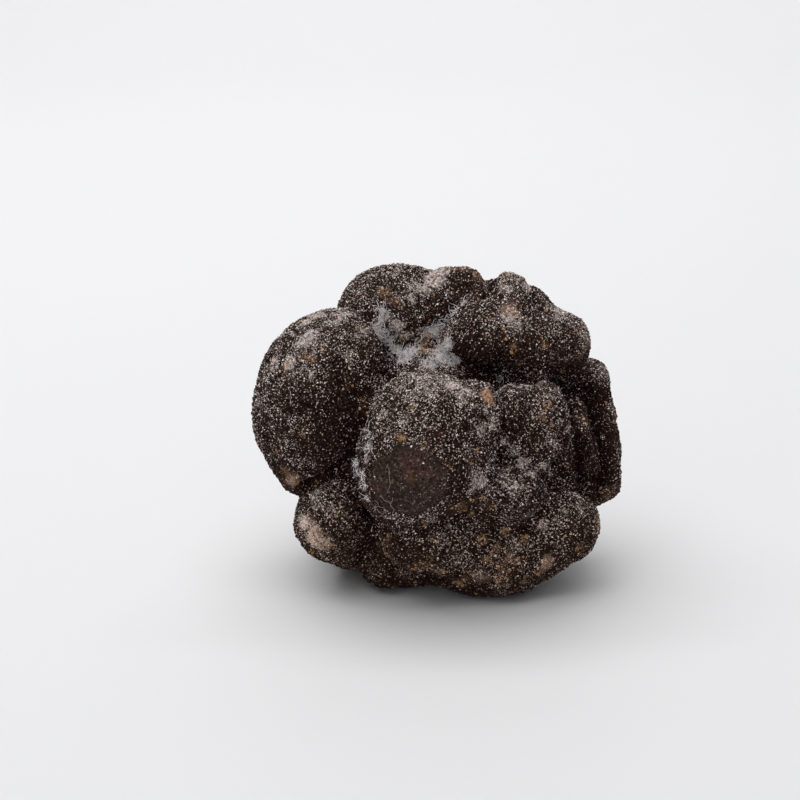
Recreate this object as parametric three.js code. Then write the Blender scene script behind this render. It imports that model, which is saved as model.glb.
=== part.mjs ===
// A black truffle: one solid fruit body of round lobes pressed together, 61 mm across, with
// low pyramid warts all over its skin but for one smooth bald patch.
// Millimetres, +Z up. It rests on small flat spots at z = 0. X runs across its widest side,
// and the side with the bald patch faces -Y. The origin is under the middle of its box.
import * as THREE from 'three';
import { mergeVertices } from 'three/addons/utils/BufferGeometryUtils.js';
import { ImprovedNoise } from 'three/addons/math/ImprovedNoise.js';

// Driving dimensions.
const WIDTH = 61;
const CREASE_ROUNDING = 0.8;
// The lobes aren't smooth: they have broad swells and smaller lumps.
const SWELLS = [
  { height: 0.8, pitch: 12 },
  { height: 0.35, pitch: 4.5 },
];
// The warts are larger than life, one on about every third point of the skin.
const WART_HEIGHT = 0.4;
const WART_SEED = 7;
// The bald patch is where this ball meets the skin.
const BALD_PATCH = { centre: new THREE.Vector3(-3.5, -25, 23.8), radius: 6.6 };
// Cuts along each edge of the icosahedron that becomes the skin, and about how long the
// skin's own edges get.
const SKIN_CUTS = 23;
const SKIN_EDGE = 1.45;

// A bulge is one round swelling of the flesh: its centre, its three radii, and its lean about
// Y in degrees, which carries its top towards +X.
const bulge = (x, y, z, rx, ry, rz, lean = 0) => ({
  centre: new THREE.Vector3(x, y, z),
  radii: new THREE.Vector3(rx, ry, rz),
  unlean: new THREE.Matrix3().setFromMatrix4(
    new THREE.Matrix4().makeRotationY(THREE.MathUtils.degToRad(-lean))),
});

// The lobes. The bulges of one lobe melt into each other over its softness; where two lobes
// meet, the skin folds in to a crease.
const LOBES = {
  heart: { softness: 4, bulges: [
    bulge(0, 3, 22.8, 18, 18, 16.9),
    bulge(17.2, 4, 21, 7.2, 9.5, 11),
    bulge(-7, 8, 30, 12, 12, 11),
    bulge(8, 9, 30, 11, 11, 11),
  ] },
  leftShoulder: { softness: 4, bulges: [
    bulge(-17.8, -1, 32.2, 10.5, 12, 12.1),
    bulge(-20.8, -3, 27, 6.6, 8, 7),
    bulge(-22, -4, 19, 2.8, 4, 2.8),
    bulge(-13.2, -2.5, 37, 5.4, 6.5, 5.4),
    bulge(-16.4, -1, 38.6, 6, 8, 6.1),
  ] },
  crown: { softness: 4, bulges: [
    bulge(-6.2, 9, 43.1, 7.7, 9.5, 7.6),
    bulge(-10.6, 8, 40.6, 5.3, 7, 4.6),
    bulge(-1.6, 9, 44, 4.8, 8, 4.4),
    bulge(5.2, 8, 46.7, 3.6, 6, 4.2),
    bulge(-5.6, 15, 40, 8.8, 8, 8),
  ] },
  rightShoulder: { softness: 2.5, bulges: [
    bulge(12.6, 0, 40.8, 11.6, 9, 6.2),
    bulge(10.8, 2, 44.4, 6.2, 7, 5.3),
    bulge(12.1, 2, 48.2, 2.8, 3.4, 2.5),
    bulge(15, 3, 45.2, 3, 5, 3),
    bulge(16.2, 3, 46, 2, 3, 2),
    bulge(21.4, 1, 39, 4, 5, 3.9),
    bulge(12, 8, 39, 9, 8, 7),
  ] },
  face: { softness: 4, bulges: [
    bulge(-1, -13, 27.3, 10.8, 12, 10.8),
    bulge(-4, -17, 22.3, 8, 8.5, 8),
    bulge(6.6, -16, 34.2, 3.2, 4, 3.4),
    bulge(5, -15.5, 21.5, 4.5, 5.5, 4.5),
  ] },
  rightCheek: { softness: 1.5, bulges: [
    bulge(14.6, -6, 27.8, 6.2, 9, 7.4),
    bulge(12.1, -11, 32.2, 2.3, 4.5, 4.6),
    bulge(17.3, -9, 31.5, 3.2, 5, 4.1),
    bulge(20.2, -7, 28.4, 1.8, 4.5, 3.4),
    bulge(16.8, -11, 24.8, 2.9, 4.5, 2.9),
  ] },
  innerFold: { softness: 1, bulges: [bulge(23.7, -4.5, 25, 1.9, 7.5, 8.6, -10)] },
  outerFold: { softness: 1, bulges: [bulge(28, 2, 21.4, 3.1, 8.6, 8.8, -6)] },
  rightEar: { softness: 1, bulges: [bulge(26.4, 7, 31, 3.4, 7, 5)] },
  rightFoot: { softness: 4, bulges: [
    bulge(7, -7, 7.6, 9.7, 10, 7.8),
    bulge(13.2, -6, 7.8, 7.4, 9, 7.2),
    bulge(20, -5, 11.6, 6.8, 9, 8),
    bulge(9.5, -13, 19.2, 8.5, 7, 5.6),
    bulge(-5, -2, 7.7, 7.6, 10.2, 7.9),
    bulge(-1.5, -12.5, 12.5, 7.5, 8.5, 6.5),
  ] },
  leftFoot: { softness: 3, bulges: [
    bulge(-17.1, -6, 11.6, 5.1, 7, 6.2),
    bulge(-13.8, 1, 8, 5.8, 7, 6.8),
    bulge(-14.6, -6, 12.4, 5, 7.4, 6.4),
    bulge(-15.6, -3, 15.6, 4.6, 6, 5),
  ] },
  nape: { softness: 4, bulges: [
    bulge(-1, 16, 32, 11, 11, 11),
    bulge(6, 19, 28, 8, 8, 9),
  ] },
  leftBack: { softness: 4, bulges: [
    bulge(-14.5, 9, 27, 13, 14, 12),
    bulge(-14.5, 10, 19, 8.5, 12, 8),
  ] },
  leftHeel: { softness: 3, bulges: [bulge(-10.5, 11, 11.6, 11.5, 13, 11.9)] },
  rightBack: { softness: 4, bulges: [
    bulge(14, 12, 27, 13, 13, 12),
    bulge(20, 9, 19, 7.5, 11, 9),
  ] },
  rightHeel: { softness: 4, bulges: [
    bulge(10.5, 12, 11.6, 12, 13, 11.9),
    bulge(2, 20, 14, 7, 6, 7),
  ] },
};

const local = new THREE.Vector3();
const scaled = new THREE.Vector3();

// About how far a point lies outside a bulge.
function outside({ centre, radii, unlean }, point) {
  local.subVectors(point, centre).applyMatrix3(unlean);
  const inRadii = scaled.copy(local).divide(radii).length();
  const steepness = scaled.divide(radii).length();
  return steepness > 0 ? (inRadii * (inRadii - 1)) / steepness : -radii.x;
}

// The smaller of two distances, with the corner between them rounded off.
function melt(a, b, softness) {
  const overlap = Math.max(softness - Math.abs(a - b), 0) / softness;
  return Math.min(a, b) - overlap * overlap * softness / 4;
}

const lobes = Object.values(LOBES);
const lobeDistance = ({ softness, bulges }, point) =>
  bulges.reduce((least, b) => melt(least, outside(b, point), softness), Infinity);

const noise = new ImprovedNoise();
const unevenness = ({ x, y, z }) => SWELLS.reduce((sum, { height, pitch }) =>
  sum + height * noise.noise(x / pitch, y / pitch, z / pitch), 0);

// About how far a point lies outside the whole body.
const bodyDistance = (point) => unevenness(point) + lobes.reduce((least, lobe) =>
  melt(least, lobeDistance(lobe, point), CREASE_ROUNDING), Infinity);

const PROBE = 0.05;
const probe = new THREE.Vector3();
// The slope of a field at a point.
function slope(field, point, target) {
  const here = field(point);
  return target.set(
    field(probe.copy(point).setX(point.x + PROBE)) - here,
    field(probe.copy(point).setY(point.y + PROBE)) - here,
    field(probe.copy(point).setZ(point.z + PROBE)) - here,
  ).divideScalar(PROBE);
}

const normal = new THREE.Vector3();
const LEAST_SLOPE = 0.3;
// Puts a point back on the skin, and on or above the table.
function settle(point) {
  const steepness = Math.max(slope(bodyDistance, point, normal).length(), LEAST_SLOPE);
  normal.normalize();
  point.addScaledVector(normal, -bodyDistance(point) / steepness);
  point.z = Math.max(point.z, 0);
}

// Brings points on a ball in along their rays to the middle of the flesh, until each meets
// the first flesh.
const MIDDLE = new THREE.Vector3(0, 1, 25);
const OUTSIDE_REACH = 50;
const TOUCHING = 0.02;
const CAREFUL_STEP = 0.7;
function wrap(points) {
  const ray = new THREE.Vector3();
  for (const point of points) {
    ray.copy(point).normalize();
    let reach = OUTSIDE_REACH;
    let gap = OUTSIDE_REACH;
    while (gap > TOUCHING) {
      gap = bodyDistance(point.copy(MIDDLE).addScaledVector(ray, reach));
      reach -= CAREFUL_STEP * gap;
    }
  }
}

// Spreads the points out evenly over the skin. Held points stay.
const PULL_SHARE = 0.6;
function relax(points, neighbours, rounds, held = []) {
  const pull = new THREE.Vector3();
  for (let round = 0; round < rounds; round++) {
    points.forEach((point, i) => {
      if (held[i]) return;
      pull.set(0, 0, 0);
      for (const j of neighbours[i]) pull.add(points[j]);
      pull.divideScalar(neighbours[i].length).sub(point);
      slope(bodyDistance, point, normal).normalize();
      pull.addScaledVector(normal, -pull.dot(normal));
      point.addScaledVector(pull, PULL_SHARE);
      settle(point);
    });
  }
}

// The two lobes nearest a point, and how much further the second one is.
function nearestLobes(point) {
  const [first, second] = lobes.map((lobe) => ({ lobe, distance: lobeDistance(lobe, point) }))
    .sort((a, b) => a.distance - b.distance);
  return { first: first.lobe, second: second.lobe, gap: second.distance - first.distance };
}

// Where a point would lie if it slid along its lobe to the nearest crease, unless the skin
// hardly turns there.
const LEAST_TURN = 0.4;
function placeOnCrease(point) {
  const { first, second, gap } = nearestLobes(point);
  const slide = slope((p) => lobeDistance(second, p) - lobeDistance(first, p), point,
    new THREE.Vector3());
  slope((p) => lobeDistance(first, p), point, normal).normalize();
  slide.addScaledVector(normal, -slide.dot(normal));
  if (slide.length() < LEAST_TURN) return null;
  const place = point.clone().addScaledVector(slide, -gap / slide.lengthSq());
  settle(place);
  return place;
}

// Slides the points nearest a crease on to it, so that the creases run in clean lines, and
// returns which points these are.
const SNAP_REACH = 0.55 * SKIN_EDGE;
const SNAP_SPACING = 0.45 * SKIN_EDGE;
function snapToCreases(points, neighbours) {
  const snapped = points.map(() => false);
  const isCrowded = (i, place) =>
    neighbours[i].some((j) => snapped[j] && points[j].distanceTo(place) < SNAP_SPACING);
  points.map((point, i) => ({ i, place: point.z > 0 && placeOnCrease(point) }))
    .filter(({ place }) => place)
    .map(({ i, place }) => ({ i, place, move: place.distanceTo(points[i]) }))
    .filter(({ move }) => move < SNAP_REACH)
    .sort((a, b) => a.move - b.move)
    .forEach(({ i, place }) => {
      if (isCrowded(i, place)) return;
      points[i].copy(place);
      snapped[i] = true;
    });
  return snapped;
}

// Random numbers from 0 to 1, the same each time.
function randomFrom(seed) {
  const MULTIPLIER = 16807;
  const PRIME = 2147483647;
  let state = seed;
  return () => {
    state = (state * MULTIPLIER) % PRIME;
    return state / PRIME;
  };
}

// Raises warts at random points, no two of them side by side. The warts sink away towards
// the creases, the bald patch and the flat spots.
function raiseWarts(points, neighbours) {
  const random = randomFrom(WART_SEED);
  const isTip = points.map(() => false);
  points.map((_, i) => ({ i, rank: random() }))
    .sort((a, b) => a.rank - b.rank)
    .forEach(({ i }) => {
      isTip[i] = !neighbours[i].some((j) => isTip[j]);
    });
  points.forEach((point, i) => {
    if (!isTip[i]) return;
    const fromPatch = point.distanceTo(BALD_PATCH.centre) - BALD_PATCH.radius;
    const room = Math.min(nearestLobes(point).gap / 2, fromPatch, point.z);
    const height = WART_HEIGHT * THREE.MathUtils.lerp(0.6, 1.4, random());
    slope(bodyDistance, point, normal).normalize();
    point.addScaledVector(normal, height * THREE.MathUtils.smoothstep(room, 0, SKIN_EDGE));
  });
}

// The points next to each point of a mesh.
function neighboursOf(points, index) {
  const sets = points.map(() => new Set());
  index.forEach((corner, i) => {
    const first = i - i % 3;
    sets[corner].add(index[first + (i + 1) % 3]);
    sets[corner].add(index[first + (i + 2) % 3]);
  });
  return sets.map((set) => [...set]);
}

// Centres a shape over the origin, on the table, at its real width.
function standOnTable(geometry) {
  geometry.computeBoundingBox();
  const { min, max } = geometry.boundingBox;
  const scale = WIDTH / (max.x - min.x);
  geometry.translate(-(min.x + max.x) / 2, -(min.y + max.y) / 2, -min.z);
  geometry.scale(scale, scale, scale);
}

const SPREAD_ROUNDS = 90;
const FINISH_ROUNDS = 4;
function skinGeometry() {
  const ball = new THREE.IcosahedronGeometry(1, SKIN_CUTS);
  ball.deleteAttribute('normal');
  ball.deleteAttribute('uv');
  const geometry = mergeVertices(ball, 1e-4);
  const { position } = geometry.attributes;
  const points = Array.from({ length: position.count }, (_, i) =>
    new THREE.Vector3().fromBufferAttribute(position, i));
  const neighbours = neighboursOf(points, geometry.index.array);
  wrap(points);
  relax(points, neighbours, SPREAD_ROUNDS);
  const onCrease = snapToCreases(points, neighbours);
  relax(points, neighbours, FINISH_ROUNDS, onCrease);
  raiseWarts(points, neighbours);
  geometry.setFromPoints(points);
  standOnTable(geometry);
  geometry.computeVertexNormals();
  return geometry;
}

const truffle = new THREE.Mesh(
  skinGeometry(),
  new THREE.MeshStandardMaterial({ color: 0x2b211d, roughness: 0.9, metalness: 0 }),
);
truffle.name = 'truffle';

const group = new THREE.Group();
group.add(truffle);
export default group;
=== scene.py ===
"""A black truffle on a pale studio floor: one warted rind round the lobes of the fruit, with
its warts, white frosting, mould threads and crumbs of soil as real shapes on the skin."""
import math

import bpy
import numpy as np
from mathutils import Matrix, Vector, noise
from mathutils.bvhtree import BVHTree

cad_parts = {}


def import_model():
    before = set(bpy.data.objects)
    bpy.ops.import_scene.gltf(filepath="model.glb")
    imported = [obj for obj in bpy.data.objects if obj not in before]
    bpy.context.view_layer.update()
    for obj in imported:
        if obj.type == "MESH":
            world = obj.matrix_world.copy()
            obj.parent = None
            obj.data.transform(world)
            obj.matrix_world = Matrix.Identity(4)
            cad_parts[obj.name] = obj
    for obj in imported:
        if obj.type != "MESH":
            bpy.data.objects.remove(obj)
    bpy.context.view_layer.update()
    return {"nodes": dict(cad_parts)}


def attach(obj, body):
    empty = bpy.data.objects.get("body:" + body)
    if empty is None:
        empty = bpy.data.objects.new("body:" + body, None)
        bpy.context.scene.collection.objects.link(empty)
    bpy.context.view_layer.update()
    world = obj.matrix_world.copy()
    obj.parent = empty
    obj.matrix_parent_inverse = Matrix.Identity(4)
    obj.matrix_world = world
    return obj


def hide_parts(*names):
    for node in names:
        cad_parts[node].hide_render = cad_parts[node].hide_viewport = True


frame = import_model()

MM = 0.001
bpy.ops.object.select_all(action="DESELECT")


# Camera. A long lens close to the table looks slightly down on the side with the bald disc.
# The middle of the fruit lies this many pixels right of the middle of the square frame, and
# this many below it. The camera stands where a millimetre there takes this many pixels.
CAMERA_ELEVATION = math.radians(15)
FRAME_SIZE = 800
PIXELS_PER_MM = 6.07
FRUIT_MIDDLE = Vector((0, 0, 27)) * MM
PIXELS_RIGHT = 41
PIXELS_BELOW = 20
away = Vector((0, -math.cos(CAMERA_ELEVATION), math.sin(CAMERA_ELEVATION)))
frame_right = Vector((1, 0, 0))
frame_up = away.cross(frame_right)
pixel = MM / PIXELS_PER_MM
camera_aim = FRUIT_MIDDLE + (frame_up * PIXELS_BELOW - frame_right * PIXELS_RIGHT) * pixel
bpy.ops.object.camera_add()
camera = bpy.context.object
camera.name = "camera"
camera.data.lens = 100
camera.data.clip_start = 10 * MM
camera_distance = FRAME_SIZE * pixel * camera.data.lens / camera.data.sensor_width
camera.location = camera_aim + away * camera_distance
camera.rotation_euler = (math.pi / 2 - CAMERA_ELEVATION, 0, 0)
bpy.context.scene.camera = camera


# Studio. A pale sheet lies on the table and sweeps up behind in one curve, with no line
# where the floor ends. A large soft lamp hangs over it, a little to the back, and a weaker
# one stands behind the camera.
FLOOR_WIDTH = 3.0
FLOOR_FRONT = -1.2
SWEEP_START = 0.7
SWEEP_RADIUS = 0.5
WALL_HEIGHT = 1.6
bpy.ops.mesh.primitive_plane_add(size=1)
floor = bpy.context.object
floor.name = "floor"
floor.scale = (FLOOR_WIDTH, SWEEP_START - FLOOR_FRONT, 1)
floor.location = (0, (SWEEP_START + FLOOR_FRONT) / 2, 0)
bpy.ops.object.transform_apply(location=True, rotation=False, scale=True)
bpy.ops.object.mode_set(mode="EDIT")
bpy.ops.mesh.select_mode(type="EDGE")
bpy.ops.mesh.select_all(action="DESELECT")
bpy.ops.object.mode_set(mode="OBJECT")
for edge in floor.data.edges:
    edge.select = all(floor.data.vertices[i].co.y > SWEEP_START - MM for i in edge.vertices)
bpy.ops.object.mode_set(mode="EDIT")
bpy.ops.mesh.spin(steps=24, angle=-math.pi / 2, axis=(1, 0, 0),
                  center=(0, SWEEP_START, SWEEP_RADIUS))
bpy.ops.mesh.extrude_region_move(TRANSFORM_OT_translate={"value": (0, 0, WALL_HEIGHT)})
bpy.ops.object.mode_set(mode="OBJECT")
bpy.ops.object.shade_smooth()
paper = bpy.data.materials.new("paper")
paper.use_nodes = True
paper_shader = paper.node_tree.nodes["Principled BSDF"]
paper_shader.inputs["Base Color"].default_value = (0.80, 0.80, 0.81, 1)
paper_shader.inputs["Roughness"].default_value = 0.55
paper_shader.inputs["Specular IOR Level"].default_value = 0.3
floor.data.materials.append(paper)


def hang_lamp(name, place, aim, size, watts):
    bpy.ops.object.light_add(type="AREA", location=place)
    lamp = bpy.context.object
    lamp.name = name
    lamp.data.shape = "RECTANGLE"
    lamp.data.size, lamp.data.size_y = size
    lamp.data.energy = watts
    lamp.rotation_euler = (Vector(aim) - Vector(place)).to_track_quat("-Z", "Y").to_euler()
    return lamp


hang_lamp("overhead lamp", place=(-0.15, -0.05, 0.75), aim=(0, 0, 0.03), size=(1.1, 1.0), watts=6.3)
hang_lamp("wall lamp", place=(0, 0.6, 1.1), aim=(0, 1.3, 0.35), size=(1.6, 0.4), watts=9.6)
hang_lamp("front lamp", place=(-0.15, -1.0, 0.6), aim=(0, 0, 0.03), size=(1.2, 0.8), watts=2.8)
# The surroundings are brighter to the camera than the light that they give.
WORLD_LIGHT = 0.08
WORLD_SEEN = 0.88
world = bpy.data.worlds.new("studio")
world.use_nodes = True
sky = world.node_tree
seen = sky.nodes.new("ShaderNodeLightPath").outputs["Is Camera Ray"]
brightness = sky.nodes.new("ShaderNodeMapRange")
brightness.inputs["To Min"].default_value = WORLD_LIGHT
brightness.inputs["To Max"].default_value = WORLD_SEEN
sky.links.new(seen, brightness.inputs["Value"])
sky.links.new(brightness.outputs["Result"], sky.nodes["Background"].inputs["Strength"])
sky.nodes["Background"].inputs["Color"].default_value = (0.98, 0.99, 1.0, 1)
bpy.context.scene.world = world
bpy.context.scene.view_settings.view_transform = "Standard"
bpy.ops.object.select_all(action="DESELECT")


# Rind. The outside of the fruit body, one closed skin of flesh that turned black and hard. It
# folds in to a deep crease between each two lobes. Here it is the solid's own skin, cut finer,
# with its creases drawn in and its small swells raised.
# Smoothing there and back this often takes off the solid's coarse warts and keeps its folds.
WART_ROUNDS = 4
rind = bpy.data.objects.new("rind", frame["nodes"]["truffle"].data.copy())
bpy.context.collection.objects.link(rind)
rind.select_set(True)
bpy.context.view_layer.objects.active = rind
bpy.ops.mesh.customdata_custom_splitnormals_clear()
bpy.ops.object.mode_set(mode="EDIT")
bpy.ops.mesh.select_mode(type="VERT")
bpy.ops.mesh.select_all(action="SELECT")
bpy.ops.mesh.remove_doubles(threshold=0.001 * MM)
for _ in range(WART_ROUNDS):
    bpy.ops.mesh.vertices_smooth(factor=0.5)
    bpy.ops.mesh.vertices_smooth(factor=-0.53)
bpy.ops.mesh.subdivide(number_cuts=3)
bpy.ops.mesh.vertices_smooth(factor=0.5, repeat=3)
bpy.ops.object.mode_set(mode="OBJECT")
bpy.ops.object.shade_smooth()


def places(piece):
    """The places of a piece's points, one row each."""
    flat = np.zeros(len(piece.data.vertices) * 3)
    piece.data.vertices.foreach_get("co", flat)
    return flat.reshape(-1, 3)


def normals(piece):
    """Which way the skin faces at each point."""
    flat = np.zeros(len(piece.data.vertices) * 3)
    piece.data.vertex_normals.foreach_get("vector", flat)
    return flat.reshape(-1, 3)


def put(piece, points):
    piece.data.vertices.foreach_set("co", points.ravel())
    piece.data.update()


def smoothstep(values, low, high):
    share = np.clip((values - low) / (high - low), 0, 1)
    return share * share * (3 - 2 * share)


def noise_at(points, pitch, offset=0.0):
    """Soft noise from about -1 to 1, whose lumps are pitch apart."""
    shift = Vector((offset, offset, offset))
    return np.array([noise.noise(Vector(p) / pitch + shift) for p in points])


def spread(piece, values, rounds):
    """The values averaged with those of the points next to them, again and again."""
    ends = np.zeros(len(piece.data.edges) * 2, int)
    piece.data.edges.foreach_get("vertices", ends)
    a, b = ends.reshape(-1, 2).T
    count = len(piece.data.vertices)
    share = np.bincount(a, minlength=count) + np.bincount(b, minlength=count)
    for _ in range(rounds):
        columns = values.reshape(count, -1).T
        values = np.stack([(np.bincount(a, c[b], count) + np.bincount(b, c[a], count)) / share
                           for c in columns], axis=1).reshape(values.shape)
    return values


# The skin lies this deep below the smooth run of the surface round it, in a crease.
CREASE_DEPTH = 0.7 * MM
# Elsewhere it lies this deep, below the tips of the solid's coarse warts.
SKIN_DROP = 0.05 * MM
# A point is in a crease as far as it lies under the average of the points round it, which is
# taken over and over, this often. From this depth on it is wholly in one.
FOLD_ROUNDS = 24
FOLD_FULL = 0.45 * MM
points = places(rind)
facing = normals(rind)
fold = ((spread(rind, points, FOLD_ROUNDS) - points) * facing).sum(axis=1)
hollow = smoothstep(fold, 0, FOLD_FULL)
clear_of_table = smoothstep(points[:, 2], 0.3 * MM, 2.5 * MM)
points -= facing * ((CREASE_DEPTH * hollow + SKIN_DROP) * clear_of_table)[:, None]

# The furrows, swells and spots below lie at places given one by one. A place of two numbers is a
# point of the camera's square frame, in pixels across and down it, and stands for what the
# camera sees there on the solid. A place of three numbers is in millimetres.
solid = frame["nodes"]["truffle"].data
solid_skin = BVHTree.FromPolygons([v.co for v in solid.vertices], [p.vertices for p in solid.polygons])


def seen_at(x, y):
    """The place on the solid, to a tenth of a millimetre, behind a point of the camera's frame."""
    across = x - FRAME_SIZE / 2
    down = y - FRAME_SIZE / 2
    point = camera_aim + (frame_right * across - frame_up * down) * pixel
    found = solid_skin.ray_cast(camera.location, point - camera.location)[0]
    if found is None:
        found = solid_skin.find_nearest(point)[0]
    return np.round(np.array(found) / MM, 1)


def placed(place):
    return seen_at(*place) * MM if len(place) == 2 else np.array(place) * MM


# Furrows that the solid has only shallow: how deep each goes and how far it reaches to each
# side, in millimetres, and the places it runs through.
FURROWS = [
    (4.4, 1.9, [(21.5, -5.8, 32.1), (22.0, -10.0, 30.7), (22.1, -10.9, 28.5), (22.1, -10.3, 25.5),
                (22.4, -9.5, 22.7), (23.4, -8.7, 19.8), (24.6, -6.6, 17.2)]),
    (3.4, 1.7, [(23.9, 0.0, 31.4), (25.0, -2.2, 29.0), (25.9, -5.0, 27.1), (26.7, -6.1, 24.5),
                (26.9, -6.7, 21.9), (26.7, -6.2, 18.6), (26.4, -4.9, 15.8)]),
    (3.6, 2.8, [(22.4, -9.8, 22.7), (23.4, -8.9, 19.8), (24.6, -6.8, 17.2)]),
    (2.4, 2.0, [(19.3, -4.4, 36.6), (20.6, -3.4, 35.8), (22.0, -1.5, 34.6)]),
    (0.9, 0.9, [(578, 393), (590, 405), (603, 420), (612, 437)]),
    (0.9, 1.6, [(-11.6, -15.0, 16.5), (371, 514), (378, 532), (-9.0, -14.5, 9.0), (388, 566)]),
    (0.5, 1.6, [(425, 548), (427, 565), (431, 582)]),
    (1.6, 1.3, [(14.4, 3.5, 50.0), (14.9, 1.0, 49.2), (15.2, -0.5, 48.2), (15.2, -1.6, 47.3)]),
    (3.0, 2.0, [(8.2, 3.0, 50.2), (8.0, 1.0, 50.4), (7.3, -1.0, 49.8), (6.0, -1.9, 48.6)]),
    (1.6, 1.4, [(362, 425), (359, 440), (351, 456), (336, 467), (320, 481), (304, 487)]),
]


def away_from_line(points, line):
    """How far each point is from a line of straight stretches."""
    nearest = np.full(len(points), np.inf)
    for start, end in zip(line[:-1], line[1:]):
        run = end - start
        along = np.clip((points - start) @ run / (run @ run), 0, 1)
        aside = points - start - along[:, None] * run
        nearest = np.minimum(nearest, np.linalg.norm(aside, axis=1))
    return nearest


def near_line(points, line, reach):
    """1 on a line of places, and 0 from its reach in millimetres outwards."""
    return 1 - smoothstep(away_from_line(points, [placed(place) for place in line]), 0, reach * MM)


furrowed = np.zeros(len(points))
for depth, reach, line in FURROWS:
    inside = near_line(points, line, reach)
    points -= facing * (depth * MM * inside * clear_of_table)[:, None]
    furrowed = np.maximum(furrowed, inside * min(depth / reach, 1))
hollow = np.maximum(hollow, furrowed)

# Swells that stand out further than in the solid, in the same way. A minus sign sinks one.
SWELLS = [
    (0.8, 6.5, [(-15.5, 1.0, 44.5), (-14.6, 7.0, 46.8), (-13.2, 9.0, 49.0)]),
    (0.7, 3.0, [(-4.2, 6.6, 50.7), (430, 274), (-0.5, 6.8, 49.9)]),
    (0.8, 3.5, [(1.0, 6.0, 50.3), (4.0, 4.5, 50.6), (6.2, 3.3, 49.7)]),
    (0.6, 5.0, [(15.5, 0.0, 48.5), (18.5, 0.0, 46.5), (21.5, -1.0, 44.0)]),
    (0.9, 5.0, [(25.5, -9.5, 15.5), (25.5, -10.0, 12.5), (24.0, -11.0, 9.0)]),
    (0.9, 5.5, [(-29.5, -4.0, 29.5), (-29.0, -4.5, 26.0), (-28.2, -3.0, 22.0)]),
    (1.5, 4.0, [(10.2, -16.3, 31.2), (512, 440), (12.6, -15.7, 26.6)]),
    (1.6, 4.0, [(-13.0, -7.5, 3.0), (-11.8, -8.5, 3.0), (-10.0, -10.0, 3.0)]),
    (-0.7, 4.0, [(29.0, -1.0, 18.5), (27.5, -1.5, 16.0)]),
    (0.9, 2.8, [(9.9, -0.2, 51.2), (12.2, -0.2, 51.0)]),
    (1.3, 2.6, [(27.2, 0.6, 31.6), (27.4, 1.0, 29.6), (27.4, -1.4, 28.4)]),
    (0.5, 2.2, [(19.0, -9.5, 34.4), (19.2, -12.0, 31.6), (19.3, -12.2, 28.5), (19.0, -11.5, 25.0)]),
]
for height, reach, line in SWELLS:
    inside = near_line(points, line, reach) * (1 - furrowed)
    above_table = smoothstep(points[:, 2], 0, 1.5 * MM)
    points += facing * (height * MM * inside * above_table)[:, None]
put(rind, spread(rind, points, 1))

# The bald disc on the front lobe, and how wide its ragged edge is.
BALD_CENTRE = np.array((-5.7, -26.0, 24.4)) * MM
BALD_REACH = np.array((6.5, 6.0, 5.7)) * MM
points = places(rind)
facing = normals(rind)
ragged = noise_at(points, 2.2 * MM)
from_disc = np.linalg.norm((points - BALD_CENTRE) / BALD_REACH, axis=1) + 0.11 * ragged
bald = 1 - smoothstep(from_disc, 0.90, 1.08)


def spots(rows, points, ragged):
    """The strongest of some soft round spots at each point: each has a place, a radius in
    millimetres and a share."""
    strength = np.zeros(len(points))
    for middle, radius, share in rows:
        reach = np.linalg.norm(points - placed(middle), axis=1) / (radius * MM)
        inside = 1 - smoothstep(reach * (1 + 0.4 * ragged), 0.2, 1.25)
        strength = np.maximum(strength, share * inside)
    return strength


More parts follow.
